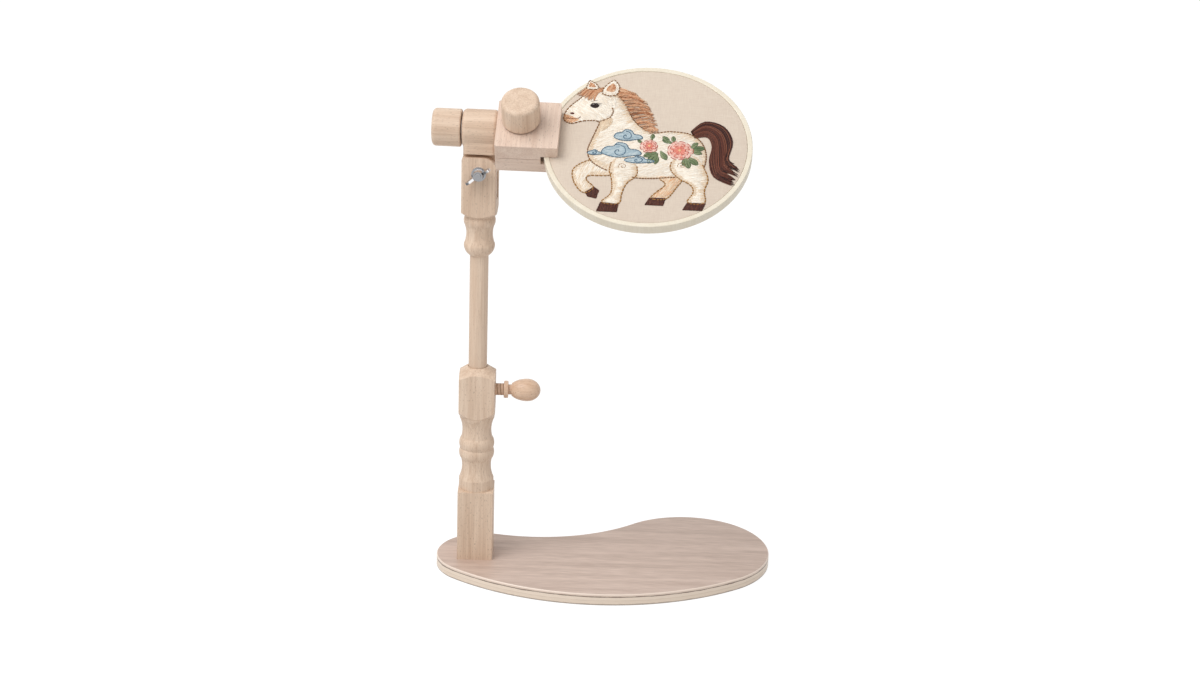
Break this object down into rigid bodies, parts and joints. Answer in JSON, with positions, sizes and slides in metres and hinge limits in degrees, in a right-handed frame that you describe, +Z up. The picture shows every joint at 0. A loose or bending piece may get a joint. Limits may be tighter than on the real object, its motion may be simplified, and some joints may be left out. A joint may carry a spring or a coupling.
{
  "type": "embroidery hoop on stand",
  "caption": "Embroidery hoop held in a tilting, swivelling wooden clamp on a height-adjustable turned post with a bean-shaped base board.",
  "frame": {"origin": "centre of the post on the underside of the base board", "axes": "+Z up, +X from the post towards the hoop, -Y towards the person who stitches"},
  "size_m": [0.3414, 0.22, 0.5037],
  "materials": {
    "beech": "satin",
    "board": "satin",
    "ring_wood": "satin",
    "cloth": "matte",
    "steel": "satin",
    "chrome": "polished",
    "brass": "satin",
    "leather": "matte"
  },
  "bodies": {
    "stand": {"base_board": "board", "base_screws": "steel", "lower_post": "beech"},
    "lock_pad": {"lock_pad": "leather"},
    "lock_screw": {"lock_screw": "beech"},
    "mast": {"rod": "beech"},
    "fork": {"fork_post": "beech", "pivot_bolt": "chrome"},
    "pivot_washer": {"pivot_washer": "chrome"},
    "wing_nut": {"wing_nut": "chrome"},
    "head": {"head_block": "beech"},
    "swivel_washer": {"swivel_washer": "steel"},
    "swivel_knob": {"swivel_knob": "beech", "swivel_nut": "brass"},
    "clamp": {"lower_jaw": "beech", "jaw_insert": "brass", "jaw_bolt": "steel", "jaw_pins": "steel", "swivel_stud": "steel"},
    "upper_jaw": {"upper_jaw": "beech", "clamp_washer": "steel"},
    "clamp_knob": {"clamp_knob": "beech", "clamp_nut": "brass"},
    "hoop": {"outer_ring": "ring_wood", "inner_ring": "ring_wood", "hoop_cloth": "cloth", "hoop_lug_front": "brass", "hoop_lug_back": "brass", "hoop_nut": "brass"},
    "hoop_screw": {"hoop_screw": "brass"}
  },
  "joints": [
    {"name": "lock_pad_slide", "type": "slide", "parent": "stand", "child": "lock_pad", "axis": [1, 0, 0], "range_m": [0, 0.0028]},
    {"name": "lock_screw_turn", "type": "hinge", "parent": "lock_pad", "child": "lock_screw", "pos_m": [0, 0, 0.188], "axis": [1, 0, 0], "range_deg": [0, 252.1]},
    {"name": "mast_height", "type": "slide", "parent": "stand", "child": "mast", "axis": [0, 0, 1], "range_m": [-0.1, 0.03]},
    {"name": "mast_turn", "type": "hinge", "parent": "mast", "child": "fork", "pos_m": [0, 0, 0.3268], "axis": [0, 0, 1], "continuous": true},
    {"name": "pivot_washer_slide", "type": "slide", "parent": "fork", "child": "pivot_washer", "axis": [-0.0523, -0.9986, 0], "range_m": [0, 0.0015]},
    {"name": "wing_nut_turn", "type": "hinge", "parent": "pivot_washer", "child": "wing_nut", "pos_m": [0, 0, 0.4117], "axis": [-0.0523, -0.9986, 0], "range_deg": [0, 540.1]},
    {"name": "head_tilt", "type": "hinge", "parent": "fork", "child": "head", "pos_m": [0, 0, 0.4117], "axis": [0.0523, 0.9986, 0], "range_deg": [-12, 45]},
    {"name": "swivel_washer_slide", "type": "slide", "parent": "head", "child": "swivel_washer", "axis": [-0.9986, 0.0523, 0], "range_m": [0, 0.002]},
    {"name": "swivel_knob_turn", "type": "hinge", "parent": "swivel_washer", "child": "swivel_knob", "pos_m": [0, 0, 0.4517], "axis": [-0.9986, 0.0523, 0], "range_deg": [0, 720.1]},
    {"name": "clamp_swivel", "type": "hinge", "parent": "head", "child": "clamp", "pos_m": [0, 0, 0.4517], "axis": [0.9986, -0.0523, 0], "continuous": true},
    {"name": "jaw_opening", "type": "slide", "parent": "clamp", "child": "upper_jaw", "axis": [-0.0288, -0.5497, 0.8348], "range_m": [0, 0.005]},
    {"name": "clamp_knob_turn", "type": "hinge", "parent": "upper_jaw", "child": "clamp_knob", "pos_m": [0.03862, -0.02734, 0.47097], "axis": [-0.0288, -0.5497, 0.8348], "range_deg": [0, 1800.1]},
    {"name": "hoop_slide", "type": "slide", "parent": "clamp", "child": "hoop", "axis": [0.9986, -0.0523, 0], "range_m": [0, 0.06]},
    {"name": "hoop_screw_turn", "type": "hinge", "parent": "hoop", "child": "hoop_screw", "pos_m": [0.05532, -0.01911, 0.45037], "axis": [-0.1251, -0.8266, -0.5486], "continuous": true}
  ],
  "couplings": [
    {"joint": "lock_screw_turn", "follows": "lock_pad_slide", "rad_per_m": 1570.8},
    {"joint": "wing_nut_turn", "follows": "pivot_washer_slide", "rad_per_m": 6283.2},
    {"joint": "swivel_knob_turn", "follows": "swivel_washer_slide", "rad_per_m": 6283.2},
    {"joint": "clamp_knob_turn", "follows": "jaw_opening", "rad_per_m": 6283.2}
  ]
}
